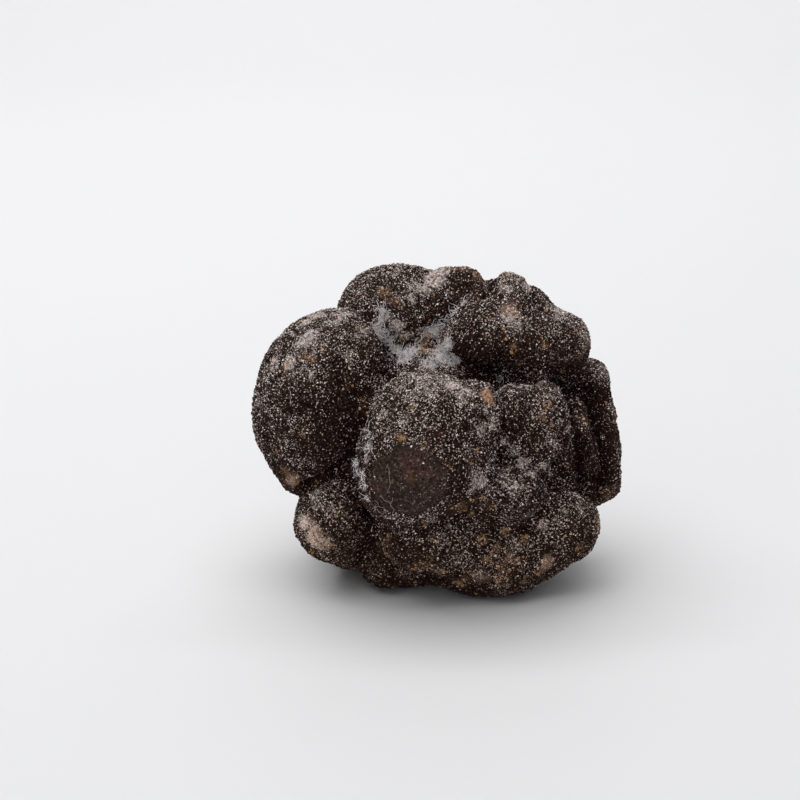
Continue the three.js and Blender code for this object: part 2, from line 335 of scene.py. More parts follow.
# Where white frosting has settled thickest.
BLOOM_SPOTS = [
    ((299, 342), 1.8, 0.95), ((316, 333), 1.6, 0.85), ((287, 361), 1.5, 0.90), ((294, 352), 1.6, 0.70),
    ((330, 345), 2.4, 0.45), ((272, 372), 2.2, 0.50), ((265, 400), 2.6, 0.40), ((300, 385), 3.2, 0.35),
    ((383, 318), 1.5, 1.00), ((378, 330), 1.3, 1.00), ((389, 338), 1.5, 1.00), ((398, 349), 1.6, 1.00),
    ((411, 352), 2.2, 1.00), ((403, 360), 1.4, 0.95), ((430, 333), 1.7, 1.00), ((440, 329), 1.2, 0.90),
    ((447, 343), 1.5, 1.00), ((441, 356), 1.8, 1.00), ((430, 366), 1.5, 0.95), ((452, 363), 1.6, 0.80),
    ((433, 283), 2.2, 1.00), ((424, 292), 1.8, 0.75), ((447, 296), 1.6, 0.50), ((410, 300), 1.5, 0.50),
    ((463, 303), 1.2, 0.90), ((455, 312), 1.3, 0.90), ((470, 296), 1.1, 0.80), ((507, 288), 1.8, 0.90),
    ((507, 313), 3.0, 0.80), ((520, 318), 2.6, 0.60), ((490, 322), 2.4, 0.60), ((536, 296), 2.0, 0.70),
    ((545, 304), 2.0, 0.70), ((560, 320), 2.2, 0.50), ((584, 335), 2.0, 0.75), ((580, 350), 1.6, 0.50),
    ((566, 358), 1.2, 0.70), ((451, 386), 2.4, 0.85), ((436, 382), 2.2, 0.65), ((470, 392), 2.2, 0.62),
    ((415, 385), 2.2, 0.45), ((402, 418), 2.8, 0.52), ((408, 405), 2.2, 0.40), ((390, 436), 2.4, 0.60),
    ((425, 425), 2.6, 0.50), ((482, 430), 3.2, 0.70), ((470, 450), 2.6, 0.55), ((495, 410), 2.0, 0.60),
    ((456, 412), 2.4, 0.40), ((519, 390), 2.0, 0.60), ((505, 383), 1.6, 0.70), ((535, 385), 1.8, 0.50),
    ((550, 410), 1.6, 0.50), ((567, 428), 1.2, 0.95), ((560, 445), 1.3, 0.60), ((585, 425), 1.0, 0.60),
    ((588, 445), 1.0, 0.55), ((590, 465), 1.0, 0.40), ((479, 480), 2.6, 0.85), ((474, 470), 1.8, 0.70),
    ((488, 492), 1.8, 0.70), ((522, 461), 2.0, 0.95), ((532, 474), 1.8, 0.90), ((508, 468), 1.8, 0.70),
    ((543, 466), 1.6, 0.80), ((512, 484), 2.0, 0.50), ((368, 447), 1.4, 0.80), ((366, 460), 1.3, 0.90),
    ((372, 436), 1.3, 0.60), ((315, 530), 1.6, 0.80), ((331, 511), 2.2, 0.70), ((318, 502), 1.8, 0.60),
    ((345, 500), 1.4, 0.50), ((340, 520), 1.6, 0.40), ((305, 515), 1.6, 0.60), ((566, 512), 1.5, 0.80),
    ((581, 511), 2.2, 0.70), ((592, 530), 2.0, 0.60), ((572, 530), 2.0, 0.50), ((507, 529), 2.4, 0.50),
    ((530, 515), 2.4, 0.40), ((461, 560), 2.6, 0.50), ((475, 572), 2.4, 0.60), ((501, 575), 2.6, 0.50),
    ((540, 565), 2.4, 0.50), ((560, 550), 2.2, 0.50), ((325, 560), 1.4, 0.40), ((350, 560), 1.4, 0.35),
    ((275, 430), 2.0, 0.45), ((285, 455), 2.0, 0.45), ((528, 572), 2.8, 0.50), ((500, 585), 2.4, 0.55),
    ((560, 540), 2.4, 0.55), ((303, 522), 2.4, 1.00), ((444, 276), 2.6, 1.00), ((440, 284), 2.0, 0.90),
    ((424, 291), 1.8, 0.70), ((398, 326), 2.0, 1.00), ((388, 317), 1.5, 0.90), ((405, 336), 1.8, 0.90),
    ((527, 289), 1.8, 0.90), ((519, 283), 1.5, 0.80), ((493, 424), 2.4, 0.85), ((487, 410), 2.0, 0.75),
    ((515, 449), 2.6, 0.85), ((504, 440), 2.0, 0.80), ((552, 474), 1.8, 0.90), ((545, 467), 1.6, 0.70),
    ((273, 363), 2.4, 0.90), ((266, 376), 2.0, 0.70), ((317, 316), 2.6, 0.95), ((305, 322), 2.4, 0.95),
    ((330, 322), 2.0, 0.80), ((348, 356), 2.4, 0.70), ((339, 349), 2.2, 0.60), ((383, 415), 2.2, 0.80),
    ((436, 280), 3.6, 1.00), ((425, 289), 2.6, 0.90), ((306, 338), 2.8, 1.00), ((289, 362), 2.2, 1.00),
    ((453, 386), 2.2, 1.00), ((509, 316), 3.0, 0.85), ((523, 462), 2.2, 0.95), ((483, 483), 2.2, 0.90),
    ((483, 431), 2.4, 0.85), ((440, 540), 3.2, 0.62), ((470, 530), 3.2, 0.60), ((460, 560), 3.2, 0.62),
    ((430, 518), 2.6, 0.60), ((495, 556), 2.8, 0.60), ((410, 536), 2.4, 0.55), ((403, 421), 2.2, 0.80),
    ((300, 462), 2.6, 0.60), ((286, 441), 2.6, 0.52), ((293, 424), 2.4, 0.58), ((277, 410), 2.2, 0.50),
    ((310, 479), 2.0, 0.52), ((479, 292), 2.0, 0.80), ((488, 301), 2.0, 0.62), ((471, 301), 1.6, 0.70),
    ((499, 309), 2.4, 0.60),
    ((7.2, -20.4, 24.7), 1.6, 0.80), ((4.4, -23.0, 22.0), 1.5, 0.75), ((-12.6, -21.0, 23.9), 0.8, 1.00),
    ((-12.3, -22.0, 22.4), 0.8, 1.00), ((-11.7, -22.0, 20.4), 0.9, 0.95),
    ((-10.4, -22.6, 19.0), 1.0, 0.75), ((-8.9, -24.0, 18.3), 1.3, 0.65), ((-7.2, -24.2, 17.6), 1.6, 0.65),
    ((-5.2, -24.0, 17.0), 1.7, 0.65), ((-3.0, -24.4, 18.3), 1.6, 0.65), ((-1.2, -24.6, 19.6), 1.5, 0.65),
    ((-21.2, -12.8, 10.8), 2.2, 0.95), ((-19.6, -13.5, 9.2), 2.0, 0.70), ((-21.0, -9.0, 42.0), 4.5, 0.55),
    ((14.0, -3.0, 48.0), 4.5, 0.55), ((21.5, -3.5, 42.5), 3.5, 0.55), ((-1.0, -20.5, 36.0), 4.0, 0.36),
    ((-2.0, 3.0, 49.0), 3.5, 0.60),
]
# Where frosting is taken off the skin, under the overhangs and between the lobes, so that it stays dark
# there: painted shade.
SHADED_BARE_SPOTS = [
    ((473, 345), 3.4, 0.92), ((500, 352), 3.8, 0.90), ((528, 358), 3.8, 0.90), ((558, 366), 3.4, 0.88),
    ((578, 372), 2.4, 0.60), ((566, 372), 2.6, 0.90), ((362, 515), 2.6, 0.75), ((370, 545), 2.8, 0.75),
    ((352, 500), 2.4, 0.70), ((378, 560), 2.6, 0.60), ((404, 545), 3.0, 0.60), ((396, 560), 3.0, 0.55),
    ((430, 560), 2.6, 0.30), ((558, 470), 1.8, 0.60), ((450, 305), 2.0, 0.70), ((466, 290), 2.2, 0.60),
    ((362, 318), 2.2, 0.50), ((348, 312), 2.4, 0.45), ((471, 271), 2.4, 0.60), ((372, 289), 2.2, 0.50),
    ((450, 310), 1.6, 0.60), ((348, 327), 1.8, 0.50), ((452, 345), 1.2, 0.50), ((500, 347), 2.2, 0.90),
    ((530, 348), 2.2, 0.90), ((554, 343), 1.8, 0.85), ((480, 344), 1.8, 0.85),
    ((11.0, -9.0, 38.5), 3.2, 0.90), ((6.5, -8.5, 39.0), 2.8, 0.85), ((25.8, -4.0, 27.8), 3.0, 0.90),
    ((26.6, -6.2, 23.9), 3.0, 0.92), ((26.6, -5.8, 19.3), 3.0, 0.90), ((22.4, -9.5, 24.5), 1.9, 0.85),
    ((23.6, -8.3, 19.5), 3.4, 0.92), ((22.0, -8.0, 30.5), 1.6, 0.75), ((28.5, -1.5, 25.0), 3.0, 0.85),
    ((28.0, -2.0, 20.5), 3.0, 0.85), ((26.5, 1.0, 31.5), 2.4, 0.60), ((-12.9, -10.8, 38.5), 2.6, 0.45),
    ((-14.0, -11.8, 33.5), 3.4, 0.55), ((-16.3, -12.1, 28.0), 3.4, 0.50),
    ((-17.9, -12.5, 24.5), 3.2, 0.40), ((-3.6, -21.3, 14.6), 2.2, 0.45), ((10.2, -16.3, 31.5), 1.8, 0.50),
    ((18.0, -11.6, 18.8), 2.0, 0.45), ((-5.2, -0.6, 44.6), 1.6, 0.50), ((-9.5, -24.9, 28.9), 1.6, 0.30),
]
fine_rag = noise_at(points, 0.9 * MM, 5.0)
bloom = spots(BLOOM_SPOTS, points, 0.6 * ragged + 0.5 * fine_rag)
drift = noise_at(points, 7 * MM, 3.0) + 0.6 * noise_at(points, 2.6 * MM, 7.0)
# Frosting lies thicker on skin that faces up: partly frost that settled there, partly painted light from
# above.
settled_and_lit = smoothstep(facing[:, 2] + 0.35 * drift, -0.5, 1.1)
lit_and_shaded_dusting = (0.09 + 0.42 * settled_and_lit + 0.34 * drift) * (1 + 0.5 * ragged + 0.5 * fine_rag)
lit_and_shaded_dusting = np.clip(lit_and_shaded_dusting, 0.02, 0.90)
lit_and_shaded_dusting *= 1 - spots(SHADED_BARE_SPOTS, points, ragged)
# Frosting is taken off the bald disc, and out of the furrows, where its lack is painted shade.
bloom = np.clip(np.maximum(bloom, lit_and_shaded_dusting), 0, 1) * (1 - 0.97 * bald) * (1 - 0.95 * furrowed)

# Where earth sticks to the skin.
SOIL_SPOTS = [
    ((383, 291), 1.6, 0.80), ((396, 299), 1.4, 0.80), ((400, 305), 1.0, 0.60), ((466, 272), 1.4, 0.80),
    ((478, 284), 0.9, 0.50), ((425, 343), 1.9, 1.00), ((436, 345), 1.5, 1.00), ((403, 338), 1.0, 0.80),
    ((312, 360), 1.2, 0.90), ((285, 370), 1.0, 0.70), ((322, 351), 0.9, 0.60), ((508, 312), 1.4, 0.70),
    ((521, 318), 1.0, 0.70), ((545, 345), 1.0, 0.80), ((514, 348), 1.0, 0.90), ((489, 395), 1.6, 1.00),
    ((402, 440), 1.2, 0.80), ((424, 447), 1.0, 0.90), ((415, 449), 0.8, 0.70), ((397, 436), 0.8, 0.60),
    ((547, 406), 1.0, 0.90), ((543, 418), 0.9, 0.80), ((550, 425), 0.7, 0.70), ((572, 402), 0.8, 1.00),
    ((565, 467), 0.9, 0.90), ((558, 430), 0.7, 0.70), ((336, 513), 0.8, 0.80), ((292, 480), 2.0, 1.00),
    ((284, 472), 1.6, 0.80), ((276, 452), 1.2, 0.60), ((460, 507), 1.2, 0.90), ((473, 515), 1.0, 0.80),
    ((470, 500), 0.8, 0.60), ((482, 540), 1.3, 0.90), ((506, 533), 1.2, 0.90), ((497, 548), 1.0, 0.80),
    ((524, 540), 1.0, 0.80), ((548, 562), 1.6, 1.00), ((540, 572), 1.2, 0.80), ((580, 548), 1.3, 0.80),
    ((590, 540), 1.0, 0.70), ((440, 572), 1.6, 0.80), ((430, 560), 1.2, 0.60), ((460, 582), 1.4, 0.80),
    ((488, 560), 1.0, 0.80), ((510, 556), 1.0, 0.80), ((498, 580), 1.2, 0.80), ((525, 582), 1.0, 0.70),
    ((340, 565), 1.2, 0.60), ((377, 545), 0.7, 0.80), ((388, 537), 0.8, 0.90), ((582, 355), 1.4, 0.60),
    ((535, 450), 0.8, 0.60), ((446, 338), 1.0, 1.00), ((440, 342), 0.8, 1.00), ((430, 336), 0.9, 0.90),
    ((421, 331), 0.7, 0.80), ((478, 281), 1.0, 0.90), ((426, 349), 1.2, 1.00), ((433, 353), 1.0, 1.00),
    ((-3.0, -2.4, 39.3), 1.1, 1.00), ((-20.0, -13.9, 12.0), 1.2, 0.60), ((-17.6, -14.2, 10.2), 1.0, 0.70),
    ((6.3, 3.6, 50.6), 1.6, 1.00),
]
soil = spots(SOIL_SPOTS, points, 0.6 * ragged + 0.6 * fine_rag)
scatter_of_soil = noise_at(points, 5 * MM, 11.0) + 0.5 * noise_at(points, 1.8 * MM, 13.0)
low_down = 1 - smoothstep(points[:, 2], 10 * MM, 20 * MM)
stray_soil = smoothstep(scatter_of_soil, 0.30 - 0.2 * low_down, 0.75)
soil = np.maximum(soil, (0.4 + 0.2 * low_down) * stray_soil)
soil *= (1 - bald) * clear_of_table

# Where earth has stained the bald disc.
STAIN_SPOTS = [((410, 477), 1.1, 0.70), ((-2.6, -26.3, 22.0), 1.0, 0.30)]
stain = spots(STAIN_SPOTS, points, ragged) * bald

# Where mould stands up in threads.
FLUFF_SPOTS = [
    ((384, 312), 1.1, 0.90), ((380, 322), 1.3, 1.00), ((382, 334), 1.3, 1.00), ((390, 341), 1.4, 1.00),
    ((399, 350), 1.5, 1.00), ((411, 352), 1.8, 1.00), ((404, 360), 1.4, 0.90), ((423, 331), 1.2, 0.90),
    ((430, 333), 1.6, 1.00), ((441, 328), 1.3, 0.90), ((448, 345), 1.4, 1.00), ((441, 357), 1.6, 1.00),
    ((430, 365), 1.4, 0.80), ((455, 360), 1.2, 0.80), ((463, 303), 0.7, 0.45), ((455, 312), 0.8, 0.60),
    ((447, 318), 1.1, 0.70), ((358, 464), 0.9, 0.90), ((368, 447), 1.0, 0.55), ((368, 434), 0.9, 0.55),
    ((500, 378), 0.8, 0.70), ((306, 338), 1.8, 0.15),
    ((-12.7, -20.8, 23.9), 0.8, 1.00), ((-12.4, -21.9, 22.4), 0.6, 0.90),
    ((-11.9, -21.7, 20.3), 0.8, 0.85), ((-0.2, -2.0, 39.6), 1.6, 0.80), ((-3.6, -1.6, 39.6), 1.6, 0.70),
]
gaps = smoothstep(fine_rag + 0.6 * ragged, -0.05, 0.4)
fluff = spots(FLUFF_SPOTS, points, ragged) * (1 - 0.85 * gaps)
fluff *= 1 - smoothstep(soil, 0.35, 0.7)

# Where the skin is worn to a pale beige.
BEIGE_SPOTS = [
    ((548, 562), 1.6, 0.45),
    ((-22.1, -12.2, 13.4), 1.6, 1.00), ((-21.0, -13.2, 12.6), 1.8, 1.00),
    ((-20.2, -13.5, 11.0), 1.8, 1.00), ((-18.9, -14.3, 10.6), 1.4, 0.80), ((7.0, -19.9, 36.3), 1.4, 1.00),
    ((-24.6, -9.7, 19.4), 1.5, 0.50), ((24.2, -2.5, 41.0), 1.4, 0.45), ((11.0, -4.8, 47.0), 1.6, 0.35),
    ((6.5, -17.3, 5.4), 1.6, 0.35),
]
beige = spots(BEIGE_SPOTS, points, 0.8 * ragged + 0.5 * fine_rag)

warty = (1 - bald) * clear_of_table
frosted = bloom * clear_of_table * (1 - 0.8 * smoothstep(soil, 0.5, 0.9))


def record(piece, name, values):
    """Keeps one value for each point of a piece under a name that its material reads."""
    layer = piece.data.attributes.new(name, "FLOAT", "POINT")
    layer.data.foreach_set("value", values.astype(np.float32))


skin_values = {"bloom": bloom, "bald": bald, "hollow": hollow, "warty": warty, "soil": soil,
               "fluff": fluff, "frosted": frosted, "stain": stain, "beige": beige}
for name, values in skin_values.items():
    record(rind, name, values)

warty_group = rind.vertex_groups.new(name="warty")
for i, share in enumerate(warty):
    warty_group.add([i], float(share), "REPLACE")


def raise_skin(name, kind, pitch, height):
    """Lifts the skin by a noise of one pitch, and applies it."""
    pattern = bpy.data.textures.new(name, kind)
    pattern.noise_scale = pitch
    lift = rind.modifiers.new(name, "DISPLACE")
    lift.texture = pattern
    lift.strength = height
    lift.vertex_group = "warty"
    bpy.context.view_layer.objects.active = rind
    bpy.ops.object.modifier_apply(modifier=name)


raise_skin("small swells", "CLOUDS", pitch=3.0 * MM, height=0.55 * MM)
raise_skin("wart beds", "VORONOI", pitch=1.0 * MM, height=-0.30 * MM)
points = places(rind)
points[:, 2] = np.maximum(points[:, 2], 0)
put(rind, points)


def new_material(name):
    material = bpy.data.materials.new(name)
    material.use_nodes = True
    return material, material.node_tree


def add(tree, kind, links=(), **settings):
    """One node of a tree, with what feeds its inputs and its own settings."""
    node = tree.nodes.new(kind)
    for key, value in settings.items():
        setattr(node, key, value)
    for name, source in dict(links).items():
        if isinstance(source, bpy.types.NodeSocket):
            tree.links.new(source, node.inputs[name])
        else:
            node.inputs[name].default_value = source
    return node


def maths(tree, operation, a, b=0.0, c=0.0):
    return add(tree, "ShaderNodeMath", {0: a, 1: b, 2: c}, operation=operation).outputs[0]


def blend(tree, share, first, second):
    node = add(tree, "ShaderNodeMix", {"Factor": share, 6: first, 7: second}, data_type="RGBA")
    return node.outputs[2]


def ramp(tree, value, low, high):
    """0 below low, 1 above high, smooth between."""
    node = add(tree, "ShaderNodeMapRange", {0: value, 1: low, 2: high, 3: 0.0, 4: 1.0},
               interpolation_type="SMOOTHSTEP")
    return node.outputs[0]


def clouds(tree, where, pitch, detail=3.0, roughness=0.5):
    node = add(tree, "ShaderNodeTexNoise", {"Vector": where, "Scale": 1 / pitch,
                                            "Detail": detail, "Roughness": roughness})
    return node.outputs["Fac"]


def attribute(tree, name):
    return add(tree, "ShaderNodeAttribute", attribute_name=name).outputs["Fac"]


# Specks: grains of one pitch side by side, each with its own whiteness. The higher the share,
# the more of them are white.
specks_group = bpy.data.node_groups.new("specks", "ShaderNodeTree")
for name, kind in (("Place", "NodeSocketVector"), ("Share", "NodeSocketFloat"),
                   ("Pitch", "NodeSocketFloat")):
    specks_group.interface.new_socket(name, in_out="INPUT", socket_type=kind)
specks_group.interface.new_socket("Mask", in_out="OUTPUT", socket_type="NodeSocketFloat")
given = add(specks_group, "NodeGroupInput").outputs
scale = maths(specks_group, "DIVIDE", 1.0, given["Pitch"])
cells = add(specks_group, "ShaderNodeTexVoronoi", {"Vector": given["Place"], "Scale": scale})
chance = add(specks_group, "ShaderNodeSeparateColor", {"Color": cells.outputs["Color"]}).outputs
bare = maths(specks_group, "SUBTRACT", 1.0, given["Share"])
bare = maths(specks_group, "MULTIPLY", bare, bare)
rarity = maths(specks_group, "MULTIPLY_ADD", bare, 11.0, 1.0)
strength = ramp(specks_group, maths(specks_group, "POWER", chance["Red"], rarity), 0.02, 0.75)
size = maths(specks_group, "MULTIPLY_ADD", chance["Green"], 0.22, 0.28)
inside = maths(specks_group, "SUBTRACT", size, cells.outputs["Distance"])
mask = maths(specks_group, "MULTIPLY", ramp(specks_group, inside, -0.02, 0.06), strength)
add(specks_group, "NodeGroupOutput", {"Mask": mask})


def specks(tree, where, share, pitch):
    node = add(tree, "ShaderNodeGroup", node_tree=specks_group)
    for name, source in (("Place", where), ("Share", share), ("Pitch", pitch)):
        if isinstance(source, bpy.types.NodeSocket):
            tree.links.new(source, node.inputs[name])
        else:
            node.inputs[name].default_value = source
    return node.outputs["Mask"]


def times(tree, a, b):
    return maths(tree, "MULTIPLY", a, b)


# Skin: black-brown flesh with earth in patches and white frosting over it. The creases are
# painted dark red as painted shade, and the tips of the warts paler as painted light.
FLESH = (0.0055, 0.0019, 0.0014, 1)
BROWN_FLESH = (0.013, 0.0055, 0.0040, 1)
GRAIN = (0.048, 0.022, 0.015, 1)
RUST = (0.066, 0.022, 0.016, 1)
WART_TIP_LIGHT = (0.044, 0.024, 0.018, 1)
PAINTED_CREASE_SHADE = (0.010, 0.0022, 0.0016, 1)
skin, tree = new_material("skin")
shader = tree.nodes["Principled BSDF"]
where = add(tree, "ShaderNodeTexCoord").outputs["Object"]
height = add(tree, "ShaderNodeSeparateXYZ", {"Vector": where}).outputs["Z"]
bloom, bald = attribute(tree, "bloom"), attribute(tree, "bald")
hollow, soil = attribute(tree, "hollow"), attribute(tree, "soil")
at_tip = attribute(tree, "tip")
browner = ramp(tree, clouds(tree, where, 3.5 * MM), 0.35, 0.65)
colour = blend(tree, browner, FLESH, BROWN_FLESH)
fine = ramp(tree, clouds(tree, where, 0.45 * MM, 3.0, 0.7), 0.44, 0.66)
colour = blend(tree, times(tree, fine, 0.7), colour, GRAIN)
rusty = ramp(tree, clouds(tree, where, 1.3 * MM, 3.0, 0.6), 0.54, 0.72)
colour = blend(tree, times(tree, rusty, 0.45), colour, RUST)
# The tips of the warts are painted paler: painted light on the tips, which leaves their bases in painted
# shade.
colour = blend(tree, times(tree, at_tip, 0.55), colour, WART_TIP_LIGHT)
# The creases are painted near-black red, the deeper the darker: painted shade.
colour = blend(tree, times(tree, hollow, 0.8), colour, PAINTED_CREASE_SHADE)

# Earth on the skin, as single grains and as dust, and the skin that is worn to beige. Worn
# skin has one colour below the first of these heights and the other above the second.
EARTH = (0.33, 0.165, 0.062, 1)
PALE_EARTH = (0.36, 0.24, 0.17, 1)
WORN = (0.58, 0.42, 0.33, 1)
WORN_HIGH_UP = (0.68, 0.37, 0.26, 1)
WORN_LOW_TO = 22 * MM
WORN_HIGH_FROM = 30 * MM
grains = specks(tree, where, times(tree, soil, 0.9), 0.60 * MM)
grains = times(tree, grains, maths(tree, "MULTIPLY_ADD", soil, 0.6, 0.1))
dust = times(tree, ramp(tree, soil, 0.1, 1.0),
             ramp(tree, clouds(tree, where, 0.35 * MM, 4.0, 0.65), 0.44, 0.58))
earthy = maths(tree, "MAXIMUM", grains, times(tree, dust, 0.75))
tint = blend(tree, clouds(tree, where, 1.6 * MM, 1.0), EARTH, PALE_EARTH)
colour = blend(tree, earthy, colour, tint)
worn = times(tree, attribute(tree, "beige"),
             ramp(tree, clouds(tree, where, 0.4 * MM, 4.0, 0.65), 0.38, 0.56))
worn_tint = blend(tree, ramp(tree, height, WORN_LOW_TO, WORN_HIGH_FROM), WORN, WORN_HIGH_UP)
colour = blend(tree, worn, colour, worn_tint)

# Frosting on the skin: specks, powder, the tips of some warts and a thin film. Dark cracks
# keep it open. It is browner from the lower of these heights down and whitest above the other.
FROST = (0.96, 0.80, 0.74, 1)
LOW_FROST = (0.92, 0.68, 0.55, 1)
FELT = (0.94, 0.90, 0.91, 1)
BROWN_BELOW = 4 * MM
WHITE_ABOVE = 22 * MM
# Fewer specks lie in the creases: painted shade.
open_skin = maths(tree, "SUBTRACT", 1.0, times(tree, hollow, 0.7))
share = times(tree, bloom, open_skin)
coarse = specks(tree, where, share, 0.28 * MM)
powder = specks(tree, where, share, 0.19 * MM)
bare = maths(tree, "SUBTRACT", 1.0, share)
rarity = maths(tree, "MULTIPLY_ADD", times(tree, bare, bare), 8.0, 0.8)
picked = maths(tree, "POWER", attribute(tree, "chance"), rarity)
# White on the tips of some warts: partly frost, partly painted light on the tips.
white_lit_tip = times(tree, ramp(tree, at_tip, 0.55, 0.90), picked)
film = times(tree, ramp(tree, bloom, 0.58, 1.0),
             ramp(tree, clouds(tree, where, 0.5 * MM, 4.0, 0.65), 0.36, 0.60))
white = maths(tree, "MAXIMUM", coarse, times(tree, powder, 0.8))
white = maths(tree, "MAXIMUM", white, white_lit_tip)
white = maths(tree, "MAXIMUM", white, times(tree, film, 0.75))
between_cracks = ramp(tree, clouds(tree, where, 0.45 * MM, 2.0), 0.40, 0.50)
filled = times(tree, ramp(tree, bloom, 0.75, 1.0), 0.55)
between_cracks = maths(tree, "MAXIMUM", between_cracks, filled)
white = times(tree, white, maths(tree, "MULTIPLY_ADD", between_cracks, 0.93, 0.07))
white = times(tree, white, maths(tree, "MULTIPLY_ADD", bald, -0.97, 1.0))
frost_tint = blend(tree, ramp(tree, height, BROWN_BELOW, WHITE_ABOVE), LOW_FROST, FROST)
colour = blend(tree, white, colour, frost_tint)
felt = times(tree, ramp(tree, attribute(tree, "fluff"), 0.20, 0.8),
             ramp(tree, clouds(tree, where, 0.5 * MM, 3.0), 0.35, 0.60))
colour = blend(tree, times(tree, felt, 0.5), colour, FELT)

# The bald disc: smooth dark flesh, mottled, with a few pale specks and a stain of earth.
DISC = (0.038, 0.026, 0.020, 1)
RUDDY_DISC = (0.070, 0.037, 0.033, 1)
DISC_PITS = (0.009, 0.0055, 0.0045, 1)
DISC_GRAIN = (0.20, 0.13, 0.12, 1)
DISC_SPECKS = (0.30, 0.24, 0.22, 1)
DISC_STAIN = (0.16, 0.075, 0.035, 1)
ruddy = ramp(tree, clouds(tree, where, 5.0 * MM, 1.0), 0.42, 0.62)
disc = blend(tree, ruddy, DISC, RUDDY_DISC)
pitted = ramp(tree, clouds(tree, where, 0.40 * MM, 4.0, 0.7), 0.46, 0.62)
disc = blend(tree, pitted, disc, DISC_PITS)
grainy = ramp(tree, clouds(tree, where, 0.55 * MM, 5.0, 0.75), 0.54, 0.70)
disc = blend(tree, grainy, disc, DISC_GRAIN)
disc = blend(tree, times(tree, specks(tree, where, 0.30, 0.30 * MM), 0.8), disc, DISC_SPECKS)
stained = times(tree, attribute(tree, "stain"),
                ramp(tree, clouds(tree, where, 0.5 * MM, 3.0), 0.34, 0.58))
disc = blend(tree, times(tree, stained, 0.8), disc, DISC_STAIN)
colour = blend(tree, bald, colour, disc)
tree.links.new(colour, shader.inputs["Base Color"])
shader.inputs["Roughness"].default_value = 0.78
shader.inputs["Specular IOR Level"].default_value = 0.05

# A fine grain in the skin, a quarter as rough on the bald disc.
grain = clouds(tree, where, 0.35 * MM, 3.0)
rough = maths(tree, "MULTIPLY_ADD", maths(tree, "SUBTRACT", 1.0, bald), 0.75, 0.25)
relief = add(tree, "ShaderNodeBump", {"Height": times(tree, grain, rough),
                                     "Strength": 1.0, "Distance": 0.25 * MM})
tree.links.new(relief.outputs["Normal"], shader.inputs["Normal"])
rind.data.materials.clear()
rind.data.materials.append(skin)
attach(rind, "root")
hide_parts("truffle")


# Warts. Low pointed warts stand side by side all over the rind, but for the bald disc. Three
# are modelled, and stood on the skin again and again, each turned and sized its own way.
FULL_TURN = 6.283


def scatter(name, seed, gap, share, models, sizes, sink, tilt=0.25, evenly=True, rarity=1.0):
    """Stands copies of the models all over the rind, about gap apart, and makes them one piece.
    Share is the attribute that says how many stand where. Sizes runs from least to most, and
    the higher the rarity, the rarer the large ones. Sink is how deep they go into the skin."""
    tree = bpy.data.node_groups.new(name, "GeometryNodeTree")
    tree.interface.new_socket("Geometry", in_out="INPUT", socket_type="NodeSocketGeometry")
    tree.interface.new_socket("Geometry", in_out="OUTPUT", socket_type="NodeSocketGeometry")
    given = add(tree, "NodeGroupInput").outputs["Geometry"]
    factor = add(tree, "GeometryNodeInputNamedAttribute", {"Name": share}, data_type="FLOAT")
    if evenly:
        stood = add(tree, "GeometryNodeDistributePointsOnFaces",
                    {"Mesh": given, "Distance Min": gap, "Density Max": 4.0 / gap**2,
                     "Density Factor": factor.outputs["Attribute"], "Seed": seed},
                    distribute_method="POISSON")
    else:
        crowd = maths(tree, "DIVIDE", factor.outputs["Attribute"], gap**2)
        stood = add(tree, "GeometryNodeDistributePointsOnFaces",
                    {"Mesh": given, "Density": crowd, "Seed": seed}, distribute_method="RANDOM")
    sunk = add(tree, "ShaderNodeVectorMath", {0: stood.outputs["Normal"], "Scale": -sink},
               operation="SCALE")
    moved = add(tree, "GeometryNodeSetPosition", {"Geometry": stood.outputs["Points"],
                                                  "Offset": sunk.outputs[0]})
    turn = add(tree, "FunctionNodeRandomValue", {0: (-tilt, -tilt, 0.0), 1: (tilt, tilt, FULL_TURN),
                                                 "Seed": seed + 1}, data_type="FLOAT_VECTOR")
    turned = add(tree, "FunctionNodeRotateRotation",
                 {"Rotation": stood.outputs["Rotation"], "Rotate By": turn.outputs[0]},
                 rotation_space="LOCAL")
    grown = add(tree, "FunctionNodeRandomValue", {2: 0.0, 3: 1.0, "Seed": seed + 2}).outputs[1]
    grown = maths(tree, "POWER", grown, rarity)
    size = add(tree, "ShaderNodeVectorMath", {0: grown, 1: Vector(sizes[1]) - Vector(sizes[0]),
                                              2: sizes[0]}, operation="MULTIPLY_ADD")
    shelf = bpy.data.collections.new(name + " models")
    bpy.context.scene.collection.children.link(shelf)
    for model in models:
        shelf.objects.link(model)
    models_node = add(tree, "GeometryNodeCollectionInfo", {"Collection": shelf,
                      "Separate Children": True, "Reset Children": True})
    copies = add(tree, "GeometryNodeInstanceOnPoints",
                 {"Points": moved.outputs[0], "Instance": models_node.outputs[0],
                  "Pick Instance": True, "Rotation": turned.outputs[0], "Scale": size.outputs[0]})
    chance = add(tree, "FunctionNodeRandomValue", {2: 0.0, 3: 1.0, "Seed": seed + 3})
    marked = add(tree, "GeometryNodeStoreNamedAttribute",
                 {"Geometry": copies.outputs[0], "Name": "chance", "Value": chance.outputs[1]},
                 data_type="FLOAT", domain="INSTANCE")
    real = add(tree, "GeometryNodeRealizeInstances", {"Geometry": marked.outputs[0]})
    add(tree, "NodeGroupOutput", {"Geometry": real.outputs[0]})
    piece = bpy.data.objects.new(name, rind.data.copy())
    bpy.context.collection.objects.link(piece)
    stand = piece.modifiers.new(name, "NODES")
    stand.node_group = tree
    bpy.ops.object.select_all(action="DESELECT")
    piece.select_set(True)
    bpy.context.view_layer.objects.active = piece
    bpy.ops.object.modifier_apply(modifier=name)
    for model in models:
        bpy.data.objects.remove(model)
    bpy.data.collections.remove(shelf)
    return piece


